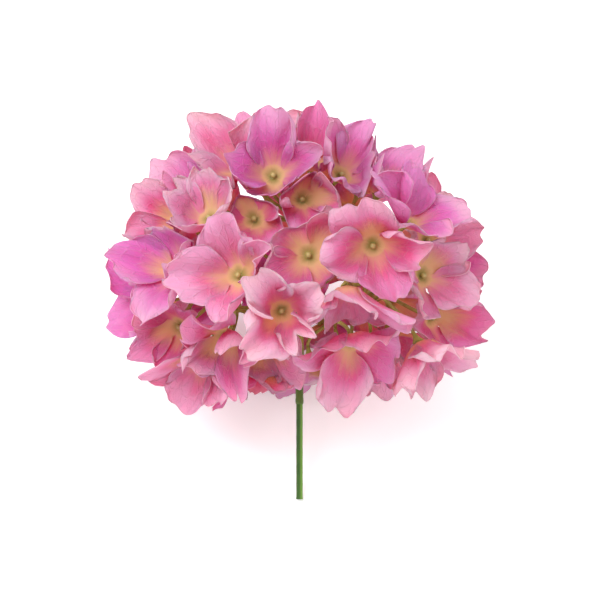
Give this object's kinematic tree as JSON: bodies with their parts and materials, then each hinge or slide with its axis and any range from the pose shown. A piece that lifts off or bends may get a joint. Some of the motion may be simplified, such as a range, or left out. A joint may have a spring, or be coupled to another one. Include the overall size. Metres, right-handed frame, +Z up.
{
  "type": "artificial hydrangea stem",
  "caption": "Full round head of ruffled fabric florets in mixed pinks on a branched plastic spray, with a short straight cut stem, lying on a surface.",
  "frame": {"origin": "middle of the foot of the part's box, on the surface that it lies on", "axes": "+X to the flower's right seen from its front, +Y along the surface from the cut end of the stem towards the head, +Z up; the stem climbs from its cut end at 40 degrees"},
  "size_m": [0.1776, 0.1632, 0.1489],
  "materials": {
    "petal_pale": "thin pale pink polyester fabric, embossed with veins, soft sheen",
    "petal_rose": "thin rose pink polyester fabric, embossed with veins, soft sheen",
    "petal_orchid": "thin orchid pink polyester fabric, embossed with veins, soft sheen",
    "spray_plastic": "olive green moulded plastic, satin",
    "stem_plastic": "deep green moulded plastic, satin",
    "wire": "drawn steel wire, cut square"
  },
  "bodies": {
    "root": {"stem": "stem_plastic", "stem_wire": "wire", "spray": "spray_plastic", "floret_01": "petal_orchid", "floret_02": "petal_rose", "floret_03": "petal_pale", "floret_04": "petal_pale", "floret_05": "petal_pale", "floret_06": "petal_pale", "floret_07": "petal_pale", "floret_08": "petal_rose", "floret_09": "petal_orchid", "floret_10": "petal_orchid", "floret_11": "petal_orchid", "floret_12": "petal_pale", "floret_13": "petal_pale", "floret_14": "petal_pale", "floret_15": "petal_rose", "floret_16": "petal_rose", "floret_17": "petal_pale", "floret_18": "petal_pale", "floret_19": "petal_pale", "floret_20": "petal_rose", "floret_21": "petal_orchid", "floret_22": "petal_orchid", "floret_23": "petal_orchid", "floret_24": "petal_rose", "floret_25": "petal_pale", "floret_26": "petal_rose", "floret_27": "petal_pale", "floret_28": "petal_rose", "floret_29": "petal_rose", "floret_30": "petal_pale", "floret_31": "petal_rose", "floret_32": "petal_orchid", "floret_33": "petal_pale", "floret_34": "petal_rose", "floret_35": "petal_rose", "floret_36": "petal_orchid", "floret_37": "petal_rose", "floret_38": "petal_orchid", "floret_39": "petal_rose", "floret_40": "petal_orchid", "floret_41": "petal_pale", "floret_42": "petal_orchid", "floret_43": "petal_rose", "floret_44": "petal_rose", "floret_45": "petal_orchid", "floret_46": "petal_pale", "floret_47": "petal_orchid", "floret_48": "petal_pale", "floret_49": "petal_pale", "floret_50": "petal_rose", "floret_51": "petal_rose", "floret_52": "petal_pale", "floret_53": "petal_orchid", "floret_54": "petal_rose", "floret_55": "petal_rose", "floret_56": "petal_rose", "floret_57": "petal_rose"}
  },
  "joints": []
}
